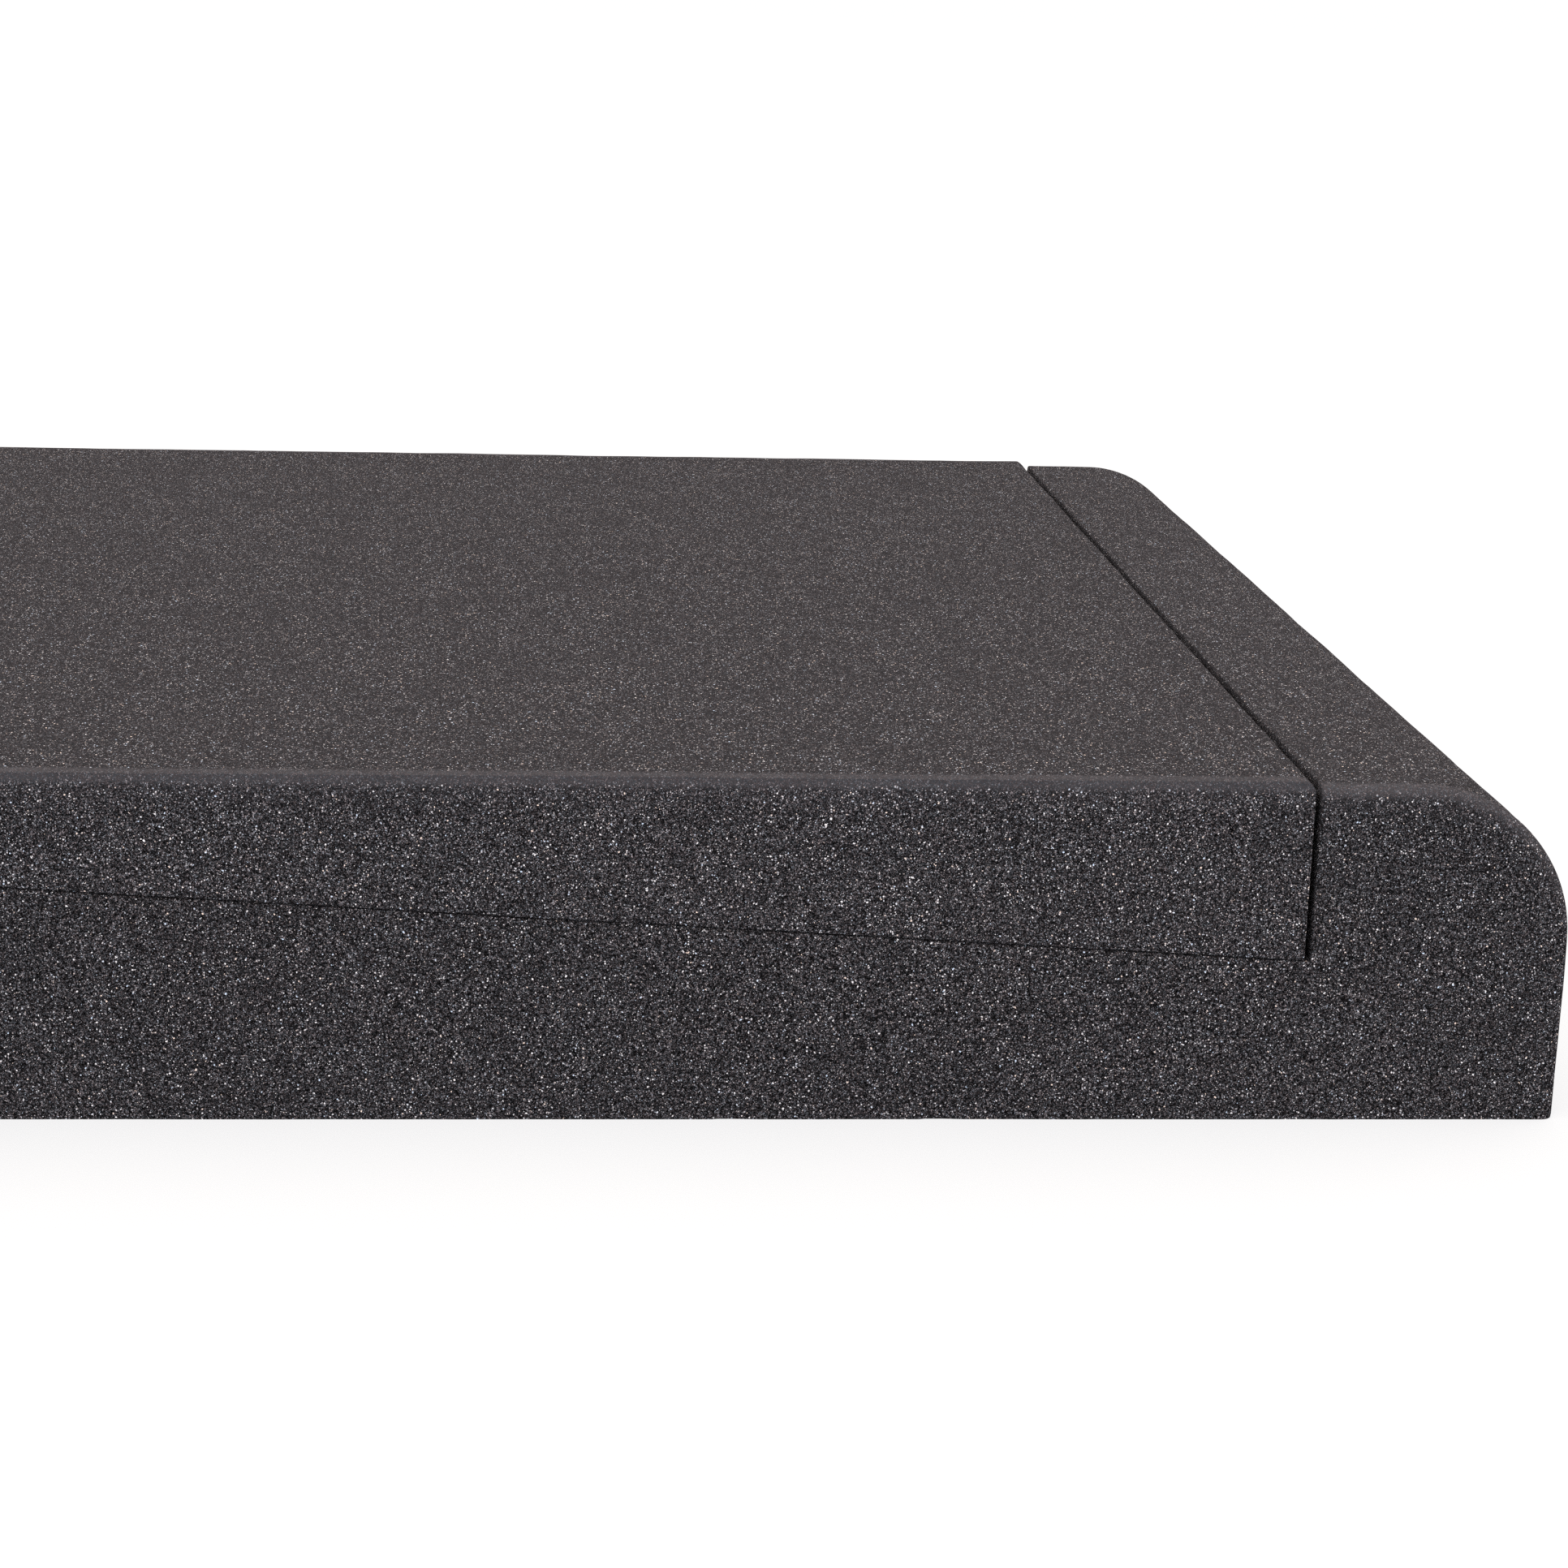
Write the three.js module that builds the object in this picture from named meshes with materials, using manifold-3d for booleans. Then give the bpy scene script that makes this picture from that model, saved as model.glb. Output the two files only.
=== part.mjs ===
import * as THREE from 'three';
import { mergeVertices } from 'three/addons/utils/BufferGeometryUtils.js';
import Module from 'manifold-3d';

const wasm = await Module();
wasm.setup();

// Foam isolation pad that stands under a studio loudspeaker, in millimetres with +Z up.
// It is two blocks of foam. The base pad has a rail across each end, and between the rails a
// sloping seat that is open at both sides of the pad. The wedge insert lies in that seat, with
// its thick end at +X, and brings the top level. Lifted out, it leaves the slope of the seat;
// turned end for end, it doubles that slope.
// X runs along the taper and Y across the pad. The origin is the centre of the underside.

// Base pad, outside sizes
const padLength = 330;
const padWidth = 270;
const padHeight = 45;

// Profile of the end rails: length along X, and the radii of the outer and inner top edges
const railLength = 34;
const railOuterRadius = 21;
const railInnerRadius = 0.6;

// Seat for the insert: its depth below the rails at the deep end, and the slope of its floor
const seatDepth = 23.4;
const seatAngle = THREE.MathUtils.degToRad(3.1);

// Wedge insert: how far its top stands above the rails, and the radius of its end edges
const insertProud = 0.8;
const insertEndRadius = 1;

// Clearances round the insert: at its ends, and under it
const endGap = 0.8;
const floorGap = 0.3;

// Radii that soften the cut edges along the sides of the pad, and the foot of its ends
const sideEdgeRadius = 0.8;
const footRadius = 1;

// Straight pieces in each quarter of a rail's round and of a softened edge
const roundSegments = 18;
const edgeSegments = 4;

const foamColour = 0x3b3b3e;
const foamRoughness = 0.95;

// Places along X and heights along Z that both pieces share
const padEnd = padLength / 2;
const seatEnd = padEnd - railLength;
const insertEnd = seatEnd - endGap;
const insertTop = padHeight + insertProud;
const seatFloor = (x) => padHeight - seatDepth + (seatEnd - x) * Math.tan(seatAngle);
const insertUnderside = (x) => seatFloor(x) + floorGap;

const quarter = Math.PI / 2;

// Adds a quarter circle to an outline, anticlockwise for a corner and clockwise for a flare
function corner(outline, centreX, centreZ, radius, startAngle) {
  outline.absarc(centreX, centreZ, radius, startAngle, startAngle + quarter, false);
}

function flare(outline, centreX, centreZ, radius, startAngle) {
  outline.absarc(centreX, centreZ, radius, startAngle, startAngle - quarter, true);
}

// Outside of the pad seen along Y, with its rounded ends
function padOutline() {
  const outline = new THREE.Shape();
  const roundX = padEnd - railOuterRadius;
  const roundZ = padHeight - railOuterRadius;
  const footX = padEnd - footRadius;
  corner(outline, footX, footRadius, footRadius, -quarter);
  corner(outline, roundX, roundZ, railOuterRadius, 0);
  corner(outline, -roundX, roundZ, railOuterRadius, quarter);
  corner(outline, -footX, footRadius, footRadius, 2 * quarter);
  outline.closePath();
  return outline;
}

// What the seat takes out of the pad: the wedge of space between the rails, flared at its top
// by the small rounds on the rails' inner edges, and carried on upwards past the top
function seatOutline() {
  const outline = new THREE.Shape();
  const flareX = seatEnd + railInnerRadius;
  const flareZ = padHeight - railInnerRadius;
  outline.moveTo(-seatEnd, seatFloor(-seatEnd));
  outline.lineTo(seatEnd, seatFloor(seatEnd));
  flare(outline, flareX, flareZ, railInnerRadius, 2 * quarter);
  outline.lineTo(flareX, 2 * padHeight);
  outline.lineTo(-flareX, 2 * padHeight);
  flare(outline, -flareX, flareZ, railInnerRadius, quarter);
  outline.closePath();
  return outline;
}

// The insert seen along Y: a wedge whose underside follows the seat
function insertOutline() {
  const outline = new THREE.Shape();
  const roundX = insertEnd - insertEndRadius;
  const roundZ = insertTop - insertEndRadius;
  outline.moveTo(-insertEnd, insertUnderside(-insertEnd));
  outline.lineTo(insertEnd, insertUnderside(insertEnd));
  corner(outline, roundX, roundZ, insertEndRadius, 0);
  corner(outline, -roundX, roundZ, insertEndRadius, quarter);
  outline.closePath();
  return outline;
}

// A plain outline as high as the insert's top, which softens only the top edges of its sides
function insertSideOutline() {
  const outline = new THREE.Shape();
  outline.moveTo(-padEnd, -padHeight);
  outline.lineTo(padEnd, -padHeight);
  outline.lineTo(padEnd, insertTop);
  outline.lineTo(-padEnd, insertTop);
  outline.closePath();
  return outline;
}

// Merges a geometry's shared vertices and makes it a solid for the cuts
function asSolid(geometry) {
  geometry.deleteAttribute('normal');
  geometry.deleteAttribute('uv');
  const merged = mergeVertices(geometry);
  return new wasm.Manifold(new wasm.Mesh({
    numProp: 3,
    vertProperties: new Float32Array(merged.attributes.position.array),
    triVerts: new Uint32Array(merged.index.array),
  }));
}

// A block that runs across the pad, centred on Y, with its side edges rounded by edgeRadius
function blockAcross(outline, width, edgeRadius) {
  const geometry = new THREE.ExtrudeGeometry(outline, {
    depth: width - 2 * edgeRadius,
    bevelEnabled: edgeRadius > 0,
    bevelThickness: edgeRadius,
    bevelSize: edgeRadius,
    bevelOffset: -edgeRadius,
    bevelSegments: edgeSegments,
    curveSegments: roundSegments,
  });
  geometry.translate(0, 0, edgeRadius - width / 2);
  geometry.rotateX(quarter);
  return asSolid(geometry);
}

function foamPiece(name, solid) {
  const mesh = solid.getMesh();
  const indexed = new THREE.BufferGeometry();
  indexed.setAttribute('position', new THREE.BufferAttribute(mesh.vertProperties, 3));
  indexed.setIndex(new THREE.BufferAttribute(mesh.triVerts, 1));
  const geometry = indexed.toNonIndexed();
  geometry.computeVertexNormals();
  const foam = new THREE.MeshStandardMaterial({
    color: foamColour,
    roughness: foamRoughness,
    metalness: 0,
  });
  const piece = new THREE.Mesh(geometry, foam);
  piece.name = name;
  return piece;
}

const seatCut = blockAcross(seatOutline(), 2 * padWidth, 0);
const basePad = blockAcross(padOutline(), padWidth, sideEdgeRadius).subtract(seatCut);
const insertWedge = blockAcross(insertOutline(), 2 * padWidth, 0);
const insert = blockAcross(insertSideOutline(), padWidth, sideEdgeRadius).intersect(insertWedge);

const isolationPad = new THREE.Group();
isolationPad.add(foamPiece('base_pad', basePad));
isolationPad.add(foamPiece('wedge_insert', insert));

export default isolationPad;
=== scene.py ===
import math

import bmesh
import bpy
from mathutils import Euler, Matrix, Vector


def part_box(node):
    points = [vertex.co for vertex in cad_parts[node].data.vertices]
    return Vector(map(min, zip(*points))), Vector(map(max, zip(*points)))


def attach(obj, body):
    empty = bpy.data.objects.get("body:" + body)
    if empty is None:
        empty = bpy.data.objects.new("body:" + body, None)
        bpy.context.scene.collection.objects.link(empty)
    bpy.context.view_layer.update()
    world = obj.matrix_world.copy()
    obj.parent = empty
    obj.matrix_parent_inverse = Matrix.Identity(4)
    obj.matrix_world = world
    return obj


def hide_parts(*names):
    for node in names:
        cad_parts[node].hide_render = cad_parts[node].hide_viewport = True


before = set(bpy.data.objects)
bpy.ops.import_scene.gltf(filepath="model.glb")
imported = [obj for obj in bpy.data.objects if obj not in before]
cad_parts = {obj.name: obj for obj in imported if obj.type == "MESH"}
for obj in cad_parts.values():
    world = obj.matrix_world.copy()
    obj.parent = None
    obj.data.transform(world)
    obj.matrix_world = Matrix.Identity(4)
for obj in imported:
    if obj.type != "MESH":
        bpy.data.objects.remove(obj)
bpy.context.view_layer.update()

MM = 0.001

# Camera that matches the photograph: place, aim and lens
CAMERA_PLACE = Vector((37.2, -501.7, 140.8)) * MM
CAMERA_YAW = math.radians(-3.914)
CAMERA_PITCH = math.radians(14.625)
CAMERA_ROLL = math.radians(1.414)
CAMERA_LENS = 69.42
CAMERA_SENSOR = 36

# The two blocks of foam at rest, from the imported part
PAD_LOW, PAD_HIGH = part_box("base_pad")
WEDGE_LOW, WEDGE_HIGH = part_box("wedge_insert")

# Sizes that the boxes don't give, the same as in the part
SEAT_ANGLE = math.radians(3.1)
END_GAP = 0.8 * MM
FLOOR_GAP = 0.3 * MM
RAIL_ROUND = 21 * MM

# Small rounds of the cut foam, most of them softer than in the part
WEDGE_END_ROUND = 2.0 * MM
SIDE_ROUND = 1.8 * MM
FOOT_ROUND = 0.6 * MM
CUT_ROUND = 0.3 * MM

# Flat strips in each round
RAIL_STRIPS = 28
WEDGE_END_STRIPS = 4
SIDE_STRIPS = 7
SMALL_STRIPS = 3

# The insert's underside lies lower than in the part, so that only a fine seam is left
SEAM_GAP = 0.12 * MM

SEAT_END = WEDGE_HIGH.x + END_GAP
SEAT_SLOPE = math.tan(SEAT_ANGLE)
SEAT_DEEP_FLOOR = WEDGE_LOW.z - FLOOR_GAP - END_GAP * SEAT_SLOPE
WEDGE_THICK_FOOT = WEDGE_LOW.z - FLOOR_GAP + SEAM_GAP

# Mesh pitch over the broad faces, and how far the surface sways from the plain block
PITCH = 3 * MM
BROAD_SWAY_SIZE = 35 * MM
BROAD_SWAY_REACH = 0.2 * MM
FINE_SWAY_SIZE = 8 * MM
FINE_SWAY_REACH = 0.15 * MM
SWAY_LIMIT = BROAD_SWAY_REACH + FINE_SWAY_REACH
TINY = 0.01 * MM
SMOOTH_ANGLE = math.radians(40)

# Foam pattern, in millimetres: its pores, the grain on their walls and the uneven patches
PORE_SIZE = 0.33
GRAIN_SIZE = 0.10
PATCH_SIZE = 9.0
BEND_SCALE = 1.6
BEND_REACH = 0.4

# Darkest foam, and how far the walls, the grain and single pores rise above it, as powers of e
DARKEST_TONE = 0.00077
WALL_RISE = 1.5
GRAIN_RISE = 4.3
PORE_RISE = 0.9

# Distances from a pore's centre, as shares of its size, at which each form starts and is full
WALL_INSIDE = (0.18, 0.34)
WALL_OUTSIDE = (0.58, 0.42)
PAINTED_GLINT_REACH = (0.42, 0.12)
PIT_SLOPE = (0.0, 0.4)

# Brightness of the painted glints, highlights painted into the base colour, and the random numbers
# from which a pore or a grain glints
PORE_PAINTED_GLINT = 2.4
GRAIN_PAINTED_GLINT = 1.5
RARE_PORE = (0.8, 1.0)
RARE_GRAIN = (0.95, 1.0)
PAINTED_GLINT_PATCH = (0.25, 0.6)

# Brightness of the painted highlight along the top edges of the front and back faces, and of the flat
# top
PAINTED_HIGHLIGHT_TONE = 0.098
TOP_TONE = 0.039

# The painted highlight strip, in millimetres: where it starts and is full, measured from the pad's
# mid plane, then the depths at which its narrow and its wide part end and are full
EDGE_HIGHLIGHT_START = 132.2
EDGE_HIGHLIGHT_FULL = 133.8
NARROW_EDGE_HIGHLIGHT = (1.9, 0.9)
WIDE_EDGE_HIGHLIGHT = (5.5, 0.5)
NARROW_EDGE_HIGHLIGHT_SHARE = 0.36
WIDE_EDGE_HIGHLIGHT_SHARE = 0.13
LEAST_EDGE_HIGHLIGHT = 0.7
EDGE_HIGHLIGHT_SPREAD = 0.6

# Depths at which the flat top's finer look ends and is full, in millimetres, and its share
TOP_SKIN = (1.2, 0.5)
TOP_SKIN_SHARE = 0.5

# How much of the painted glints the painted highlight strip and the flat top take away
EDGE_HIGHLIGHT_DULLING = 1.5
TOP_DULLING = 0.2

# Hues of the cell walls and the painted glints, and the random numbers between which they change
WALL_WARM = (1.0, 0.85, 0.9, 1)
WALL_COOL = (0.82, 0.87, 1.0, 1)
PAINTED_GLINT_WHITE = (0.95, 0.93, 0.95, 1)
PAINTED_GLINT_BLUE = (0.66, 0.8, 1.0, 1)
PAINTED_GLINT_ORANGE = (1.0, 0.8, 0.68, 1)
BLACK = (0, 0, 0, 1)
WALL_CHANGE = (0.3, 0.7)
BLUE_CHANGE = (0.75, 0.9)
ORANGE_CHANGE = (0.2, 0.1)

# Foam of each block: how far its pattern is moved, in millimetres, the height of its top, the
# shade of its sides, and the brightness of its flat top, on the pad painted lighter than its sides
PAD_FOAM = ((0, 0, 0), PAD_HIGH.z, 0.87, 1.04)
WEDGE_FOAM = ((37, 91, 53), WEDGE_HIGH.z, 1.0, 1.0)

# Studio: its sky at the horizon and overhead, a softbox in front, and the floor
SKY_LOW = (1.0, 1.01, 1.05, 1)
SKY_HIGH = (2.0, 1.86, 1.7, 1)
SOFTBOX_PLACE = (-0.5, -1.7, 0.9)
SOFTBOX_SIZE = (1.4, 1.0)
SOFTBOX_POWER = 3.5
SOFTBOX_COLOUR = (0.76, 0.84, 1)
FLOOR_SPAN = 40
FLOOR_COLOUR = (0.25, 0.25, 0.25, 1)
FLOOR_GLOW = (0.97, 0.98, 1, 1)
FLOOR_GLOW_STRENGTH = 0.68


def deselect_all():
    bpy.ops.object.select_all(action="DESELECT")


def activate(piece):
    deselect_all()
    piece.select_set(True)
    bpy.context.view_layer.objects.active = piece


def add_block(name, low, high):
    deselect_all()
    bpy.ops.mesh.primitive_cube_add(size=1, location=(low + high) / 2, scale=high - low)
    piece = bpy.context.active_object
    piece.name = name
    bpy.ops.object.transform_apply(location=True, rotation=True, scale=True)
    return piece


def edit(piece):
    activate(piece)
    bpy.ops.object.mode_set(mode="EDIT")
    bpy.ops.mesh.select_all(action="DESELECT")


def finish_edit():
    bpy.ops.object.mode_set(mode="OBJECT")


def select_edges(piece, wanted):
    """Selects the edges whose two ends both pass the test."""
    bpy.ops.mesh.select_mode(type="EDGE")
    bpy.ops.mesh.select_all(action="DESELECT")
    mesh = bmesh.from_edit_mesh(piece.data)
    for edge in mesh.edges:
        if wanted(*(v.co for v in edge.verts)):
            edge.select_set(True)
    bmesh.update_edit_mesh(piece.data)


def select_vertices(piece, wanted):
    bpy.ops.mesh.select_mode(type="VERT")
    bpy.ops.mesh.select_all(action="DESELECT")
    mesh = bmesh.from_edit_mesh(piece.data)
    for vertex in mesh.verts:
        vertex.select_set(wanted(vertex.co))
    bmesh.update_edit_mesh(piece.data)


def near(a, b):
    return abs(a - b) < TINY


def on_height(a, b, height):
    return near(a.z, height) and near(b.z, height)


def round_selected(radius, strips):
    bpy.ops.mesh.bevel(offset=radius, segments=strips, profile=0.5, affect="EDGES")


def cut_grid(piece, low, high, pitch):
    """Bisects a piece by evenly spaced planes across each axis, so that its faces can be moved."""
    for axis in range(3):
        span = high[axis] - low[axis]
        cuts = round(span / pitch)
        normal = [0, 0, 0]
        normal[axis] = 1
        for i in range(1, cuts):
            place = [0, 0, 0]
            place[axis] = low[axis] + span * i / cuts
            bpy.ops.mesh.select_all(action="SELECT")
            bpy.ops.mesh.bisect(plane_co=place, plane_no=normal)


def apply_modifier(piece, kind, **settings):
    modifier = piece.modifiers.new(kind, kind)
    for key, value in settings.items():
        setattr(modifier, key, value)
    activate(piece)
    bpy.ops.object.modifier_apply(modifier=modifier.name)


def unevenness(name, size):
    texture = bpy.data.textures.new(name, "CLOUDS")
    texture.noise_scale = size
    texture.noise_depth = 1
    texture.cloud_type = "COLOR"
    return texture


def sway(piece, texture, amount):
    """Moves the surface by the texture's three channels, the same way for pieces that touch."""
    apply_modifier(
        piece, "DISPLACE", texture=texture, texture_coords="GLOBAL",
        direction="RGB_TO_XYZ", mid_level=0.5, strength=amount,
    )


def soften_surface(piece):
    sway(piece, broad_sway, BROAD_SWAY_REACH)
    sway(piece, fine_sway, FINE_SWAY_REACH)


def make_base_pad():
    pad = add_block("base_pad_foam", PAD_LOW, PAD_HIGH)
    edit(pad)
    for side in (-1, 1):
        end = side * PAD_HIGH.x
        select_edges(pad, lambda a, b: near(a.x, end) and near(b.x, end) and on_height(a, b, PAD_HIGH.z))
        round_selected(RAIL_ROUND, RAIL_STRIPS)
    select_edges(pad, lambda a, b: near(a.y, b.y) and a.z + b.z > 2 * TINY)
    round_selected(SIDE_ROUND, SIDE_STRIPS)
    select_edges(pad, lambda a, b: on_height(a, b, PAD_LOW.z))
    round_selected(FOOT_ROUND, SMALL_STRIPS)
    finish_edit()

    above_pad = PAD_HIGH.z + RAIL_ROUND
    seat = make_wedge_block("seat_cutter", SEAT_END, SEAT_DEEP_FLOOR, above_pad, 2)
    apply_modifier(pad, "BOOLEAN", operation="DIFFERENCE", object=seat, solver="EXACT")
    bpy.data.objects.remove(seat, do_unlink=True)

    edit(pad)
    select_edges(pad, on_seat_rim)
    round_selected(CUT_ROUND, SMALL_STRIPS)
    cut_grid(pad, PAD_LOW, PAD_HIGH, PITCH)
    finish_edit()
    return pad


def seat_floor(x):
    return SEAT_DEEP_FLOOR + (SEAT_END - x) * SEAT_SLOPE


def on_seat_rim(a, b):
    """True for an edge of the cut where the seat meets the outside of the pad."""
    at_rail = all(near(abs(p.x), SEAT_END) for p in (a, b)) and near(a.x, b.x)
    on_floor = all(near(p.z, seat_floor(p.x)) for p in (a, b))
    along_side = near(a.y, b.y) and near(abs(a.y), PAD_HIGH.y)
    near_top = min(a.z, b.z) > PAD_HIGH.z - SIDE_ROUND - TINY
    return (at_rail and (near_top or along_side)) or (on_floor and along_side)


def make_wedge_block(name, end, deep_floor, top, width_factor):
    """A block between two ends whose underside slopes up from its deep end at +X.

    Its width is the pad's times the factor.
    """
    low = Vector((-end, PAD_LOW.y * width_factor, deep_floor))
    high = Vector((end, PAD_HIGH.y * width_factor, top))
    wedge = add_block(name, low, high)
    edit(wedge)
    select_vertices(wedge, lambda p: p.x < 0 and near(p.z, deep_floor))
    bpy.ops.transform.translate(value=(0, 0, 2 * end * SEAT_SLOPE))
    finish_edit()
    return wedge


def low_on_side(p):
    return near(abs(p.y), PAD_HIGH.y) and p.z < WEDGE_HIGH.z - SIDE_ROUND + TINY


def make_wedge_insert():
    top = WEDGE_HIGH.z
    wedge = make_wedge_block("wedge_insert_foam", WEDGE_HIGH.x, WEDGE_THICK_FOOT, top, 1)
    edit(wedge)
    select_edges(wedge, lambda a, b: near(a.x, b.x) and on_height(a, b, top))
    round_selected(WEDGE_END_ROUND, WEDGE_END_STRIPS)
    select_edges(wedge, lambda a, b: near(a.y, b.y) and on_height(a, b, top))
    round_selected(SIDE_ROUND, SIDE_STRIPS)
    select_edges(wedge, lambda a, b: near(a.y, b.y) and low_on_side(a) and low_on_side(b))
    round_selected(CUT_ROUND, SMALL_STRIPS)
    cut_grid(wedge, WEDGE_LOW, WEDGE_HIGH, PITCH)
    finish_edit()
    return wedge


def flatten_underside(pad):
    """Presses the foot flat again where the sway has moved it."""
    edit(pad)
    select_vertices(pad, lambda p: p.z < PAD_LOW.z + SWAY_LIMIT)
    bpy.ops.transform.resize(value=(1, 1, 0), center_override=PAD_LOW)
    finish_edit()


class Field:
    """A number that varies over a surface. Arithmetic on fields adds Math nodes."""

    def __init__(self, maker, socket):
        self.maker = maker
        self.socket = socket

    def math(self, operation, *others):
        inputs = dict(enumerate((self, *others)))
        return self.maker.node("ShaderNodeMath", {"operation": operation}, inputs).value()

    def __add__(self, other):
        return self.math("ADD", other)

    __radd__ = __add__

    def __sub__(self, other):
        return self.math("SUBTRACT", other)

    def __rsub__(self, other):
        return (self * -1) + other

    def __mul__(self, other):
        return self.math("MULTIPLY", other)

    __rmul__ = __mul__

    def fade(self, start, end):
        """0 at start and 1 at end, with a smooth step between."""
        settings = {"interpolation_type": "SMOOTHSTEP"}
        inputs = {"Value": self, "From Min": start, "From Max": end, "To Min": 0.0, "To Max": 1.0}
        if start > end:
            inputs.update({"From Min": end, "From Max": start, "To Min": 1.0, "To Max": 0.0})
        return self.maker.node("ShaderNodeMapRange", settings, inputs).value("Result")


class Made:
    """A node that was made, with its outputs as fields."""

    def __init__(self, maker, node):
        self.maker = maker
        self.item = node

    def value(self, output=0):
        return Field(self.maker, self.item.outputs[output])


class Finish:
    """A material or sky under construction: one method adds any node."""

    def __init__(self, owner):
        self.owner = owner
        owner.use_nodes = True
        self.tree = owner.node_tree
        self.tree.nodes.clear()

    def node(self, kind, settings=None, inputs=None):
        made = self.tree.nodes.new(kind)
        for key, value in (settings or {}).items():
            setattr(made, key, value)
        for key, value in (inputs or {}).items():
            if isinstance(value, Field):
                self.tree.links.new(value.socket, made.inputs[key])
            else:
                made.inputs[key].default_value = value
        return Made(self, made)

    def mix(self, factor, first, second):
        """Mixes two colours. The numbers are the sockets of the node's colour form."""
        inputs = {0: factor, 6: first, 7: second}
        return self.node("ShaderNodeMix", {"data_type": "RGBA"}, inputs).value(2)

    def parts(self, kind, **inputs):
        """The three numbers in a colour or a vector."""
        split = self.node(kind, None, inputs)
        return [split.value(i) for i in range(3)]

    def place_in_outline(self, top):
        """Where a point lies in the pad's outline, seen along Y.

        The three numbers are the depth below the outline in millimetres, the distance from the
        pad's mid plane in millimetres, and 1 near the top, falling to 0 at the foot of the rounds.
        """
        place = self.node("ShaderNodeTexCoord").value("Object")
        x, y, z = (part * (1 / MM) for part in self.parts("ShaderNodeSeparateXYZ", Vector=place))
        reach = RAIL_ROUND / MM
        across = (x.math("ABSOLUTE") - (PAD_HIGH.x / MM - reach)).math("MAXIMUM", 0.0)
        up = (z - (top / MM - reach)).math("MAXIMUM", 0.0)
        depth = reach - (across * across + up * up).math("SQRT")
        return depth, y.math("ABSOLUTE"), up * (1 / reach)

    def point(self, offset):
        """Object coordinates in millimetres, moved so that two pieces don't share a pattern."""
        place = self.node("ShaderNodeTexCoord").value("Object")
        inputs = {"Vector": place, "Location": offset, "Scale": (1 / MM, 1 / MM, 1 / MM)}
        return self.node("ShaderNodeMapping", {"vector_type": "POINT"}, inputs).value()

    def noise(self, point, scale, detail):
        inputs = {"Vector": point, "Scale": scale, "Detail": detail}
        return self.node("ShaderNodeTexNoise", None, inputs)

    def cells(self, point, size):
        return self.node("ShaderNodeTexVoronoi", None, {"Vector": point, "Scale": 1 / size})

    def bent(self, point):
        """Points moved a little by noise, so that the pores aren't all of one shape."""
        push = self.noise(point, BEND_SCALE, 1.0).value("Color")
        inputs = {0: push, 1: (BEND_REACH, BEND_REACH, BEND_REACH), 2: point}
        return self.node("ShaderNodeVectorMath", {"operation": "MULTIPLY_ADD"}, inputs).value()


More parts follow.
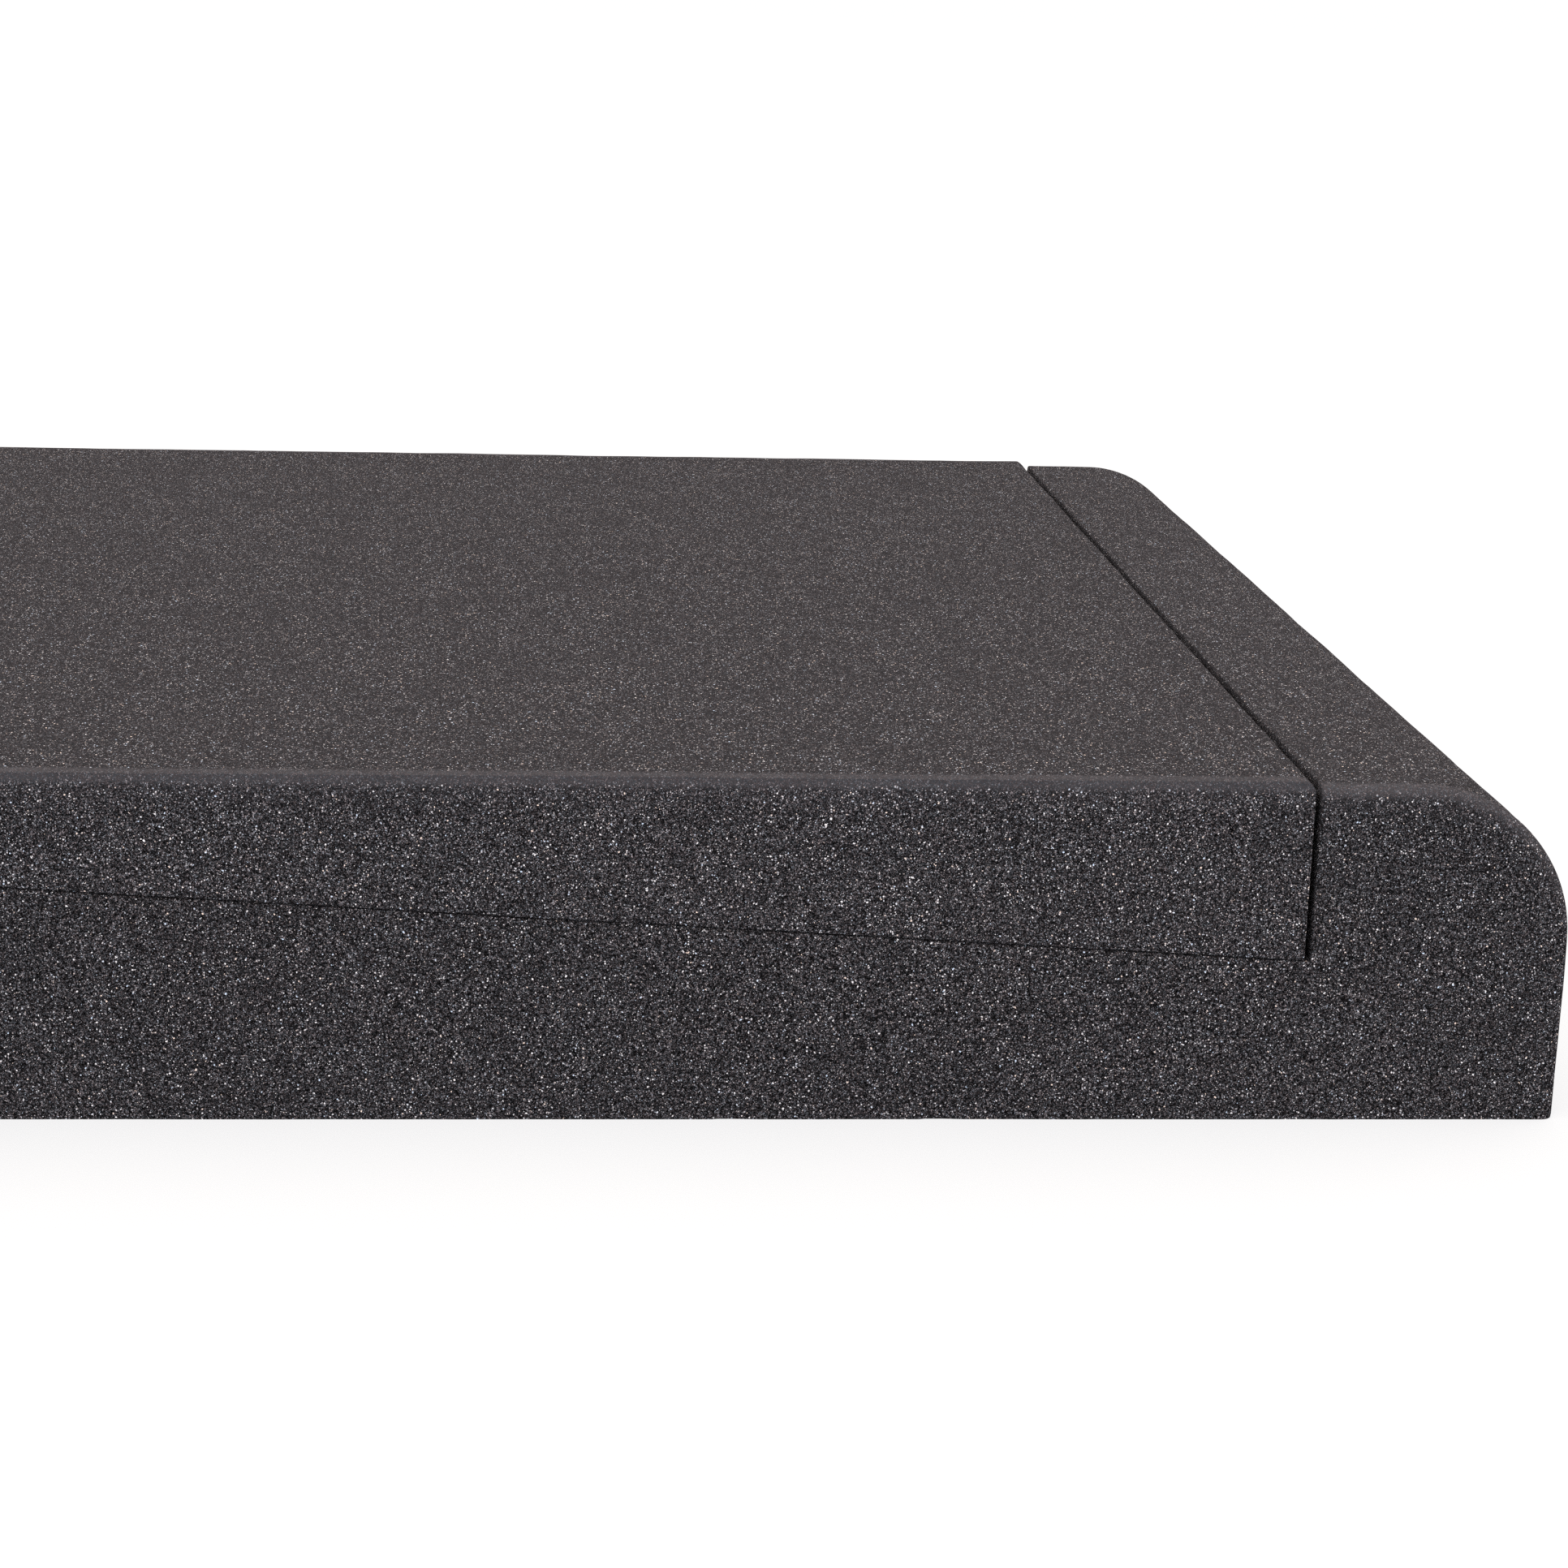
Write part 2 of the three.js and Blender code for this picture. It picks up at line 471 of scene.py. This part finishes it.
def foam_finish(name, offset, top, shade, painted_top_brightness):
    """Charcoal open-cell foam: dark pores, lighter cell walls and a few painted glints."""
    foam = Finish(bpy.data.materials.new(name))
    point = foam.point(offset)
    pores = foam.cells(foam.bent(point), PORE_SIZE)
    centre = pores.value("Distance")
    chance, strength, tint = foam.parts("ShaderNodeSeparateColor", Color=pores.value("Color"))
    grain = foam.cells(point, GRAIN_SIZE)
    speck, speck_tint, speck_chance = foam.parts("ShaderNodeSeparateColor", Color=grain.value("Color"))

    ring = centre.fade(*WALL_INSIDE) * centre.fade(*WALL_OUTSIDE)
    patches = foam.noise(point, 1 / PATCH_SIZE, 3.0).value("Fac")
    rise = ring * WALL_RISE + speck * GRAIN_RISE + strength * PORE_RISE
    lit = rise.math("EXPONENT") * DARKEST_TONE

    depth, from_middle, upward = foam.place_in_outline(top)
    # Painted highlight: the foam along the top edges of the front and back faces is lightened, most
    # where the rounds face up and in patches, standing in for light on the rounded edges
    at_side = from_middle.fade(EDGE_HIGHLIGHT_START, EDGE_HIGHLIGHT_FULL)
    edge_highlight_strength = upward * (patches * EDGE_HIGHLIGHT_SPREAD + LEAST_EDGE_HIGHLIGHT)
    edge_highlight_profile = depth.fade(*NARROW_EDGE_HIGHLIGHT) * NARROW_EDGE_HIGHLIGHT_SHARE + depth.fade(*WIDE_EDGE_HIGHLIGHT) * WIDE_EDGE_HIGHLIGHT_SHARE
    painted_edge_highlight = at_side * edge_highlight_profile * edge_highlight_strength
    flat_top = depth.fade(*TOP_SKIN) * upward
    lit = lit + (TOP_TONE - lit) * flat_top * (1 - at_side) * TOP_SKIN_SHARE
    lit = lit + (PAINTED_HIGHLIGHT_TONE - lit) * painted_edge_highlight

    # Painted glints: a few pores and grains are made bright in the base colour as painted highlights,
    # fewer on the painted edge highlight and on the flat top
    rare = chance.fade(*RARE_PORE)
    in_patch = patches.fade(*PAINTED_GLINT_PATCH)
    painted_pore_glint = rare * rare * rare * centre.fade(*PAINTED_GLINT_REACH) * in_patch * PORE_PAINTED_GLINT
    speck_rare = speck_chance.fade(*RARE_GRAIN)
    painted_grain_glint = speck_rare * speck_rare * GRAIN_PAINTED_GLINT * strength
    painted_glint = (painted_pore_glint + painted_grain_glint) * (1 - painted_edge_highlight * EDGE_HIGHLIGHT_DULLING - flat_top * TOP_DULLING)

    wall_hue = foam.mix(speck_tint.fade(*WALL_CHANGE), WALL_WARM, WALL_COOL)
    cool_hue = foam.mix(tint.fade(*BLUE_CHANGE), PAINTED_GLINT_WHITE, PAINTED_GLINT_BLUE)
    painted_glint_hue = foam.mix(tint.fade(*ORANGE_CHANGE), cool_hue, PAINTED_GLINT_ORANGE)
    hue = foam.mix(painted_glint, wall_hue, painted_glint_hue)
    # The flat top takes its own brightness: on the pad this is painted light, the top lighter than the
    # sides
    brightness = (lit + painted_glint) * (flat_top * (painted_top_brightness - shade) + shade)
    colour = foam.mix(brightness, BLACK, hue)

    height = ring * speck * 0.5 + centre.fade(*PIT_SLOPE) * 0.5
    bump_inputs = {"Strength": 0.6, "Distance": 0.2 * MM, "Height": height}
    bump = foam.node("ShaderNodeBump", None, bump_inputs).value("Normal")

    surface_inputs = {
        "Base Color": colour,
        "Roughness": 0.9,
        "Normal": bump,
        "IOR": 1.15,
        "Specular IOR Level": 0.0,
        "Sheen Weight": 0.008,
        "Sheen Roughness": 0.3,
        "Sheen Tint": (1.0, 0.8, 0.7, 1),
    }
    surface = foam.node("ShaderNodeBsdfPrincipled", None, surface_inputs).value("BSDF")
    foam.node("ShaderNodeOutputMaterial", None, {"Surface": surface})
    return foam.owner


def floor_finish():
    floor = Finish(bpy.data.materials.new("pale_floor"))
    surface_inputs = {
        "Base Color": FLOOR_COLOUR,
        "Roughness": 0.9,
        "Specular IOR Level": 0.0,
        "Emission Color": FLOOR_GLOW,
        "Emission Strength": FLOOR_GLOW_STRENGTH,
    }
    surface = floor.node("ShaderNodeBsdfPrincipled", None, surface_inputs).value("BSDF")
    floor.node("ShaderNodeOutputMaterial", None, {"Surface": surface})
    return floor.owner


def make_floor():
    deselect_all()
    bpy.ops.mesh.primitive_plane_add(size=FLOOR_SPAN, location=(0, 0, PAD_LOW.z))
    floor = bpy.context.active_object
    floor.name = "floor"
    floor.data.materials.append(floor_finish())


def make_camera():
    data = bpy.data.cameras.new("camera")
    data.lens = CAMERA_LENS
    data.sensor_width = CAMERA_SENSOR
    data.clip_start = 0.01
    data.clip_end = 100
    camera = bpy.data.objects.new("camera", data)
    camera.location = CAMERA_PLACE
    turn = Euler((0, 0, CAMERA_YAW)).to_matrix()
    tilt = Euler((math.pi / 2 - CAMERA_PITCH, 0, 0)).to_matrix()
    roll = Euler((0, 0, CAMERA_ROLL)).to_matrix()
    camera.rotation_euler = (turn @ tilt @ roll).to_euler()
    bpy.context.scene.collection.objects.link(camera)
    bpy.context.scene.camera = camera


def add_softbox():
    """A cool soft light in front of the pad, turned towards its middle."""
    data = bpy.data.lights.new("front_softbox", "AREA")
    data.shape = "RECTANGLE"
    data.size, data.size_y = SOFTBOX_SIZE
    data.energy = SOFTBOX_POWER
    data.color = SOFTBOX_COLOUR
    light = bpy.data.objects.new("front_softbox", data)
    light.location = SOFTBOX_PLACE
    light.rotation_euler = (-Vector(SOFTBOX_PLACE)).to_track_quat("-Z", "Y").to_euler()
    bpy.context.scene.collection.objects.link(light)


def make_sky():
    """An even studio sky, white at the horizon and brighter and warmer overhead."""
    sky = Finish(bpy.data.worlds.new("studio_sky"))
    direction = sky.node("ShaderNodeTexCoord").value("Generated")
    height = sky.node("ShaderNodeSeparateXYZ", None, {"Vector": direction}).value("Z")
    colour = sky.mix(height.fade(0.0, 1.0), SKY_LOW, SKY_HIGH)
    light = sky.node("ShaderNodeBackground", None, {"Color": colour, "Strength": 1.0}).value()
    sky.node("ShaderNodeOutputWorld", None, {"Surface": light})
    bpy.context.scene.world = sky.owner


bpy.context.scene.view_settings.view_transform = "Standard"
bpy.context.scene.cycles.use_denoising = False
make_camera()
make_sky()
add_softbox()
make_floor()

broad_sway = unevenness("broad_sway", BROAD_SWAY_SIZE)
fine_sway = unevenness("fine_sway", FINE_SWAY_SIZE)

foam_pieces = (
    (make_base_pad(), "base_pad", PAD_FOAM),
    (make_wedge_insert(), "wedge_insert", WEDGE_FOAM),
)
for piece, node, foam in foam_pieces:
    soften_surface(piece)
    if node == "base_pad":
        flatten_underside(piece)
    activate(piece)
    bpy.ops.object.shade_smooth_by_angle(angle=SMOOTH_ANGLE)
    piece.data.materials.append(foam_finish(f"{node}_charcoal_foam", *foam))
    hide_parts(node)
    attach(piece, "root")
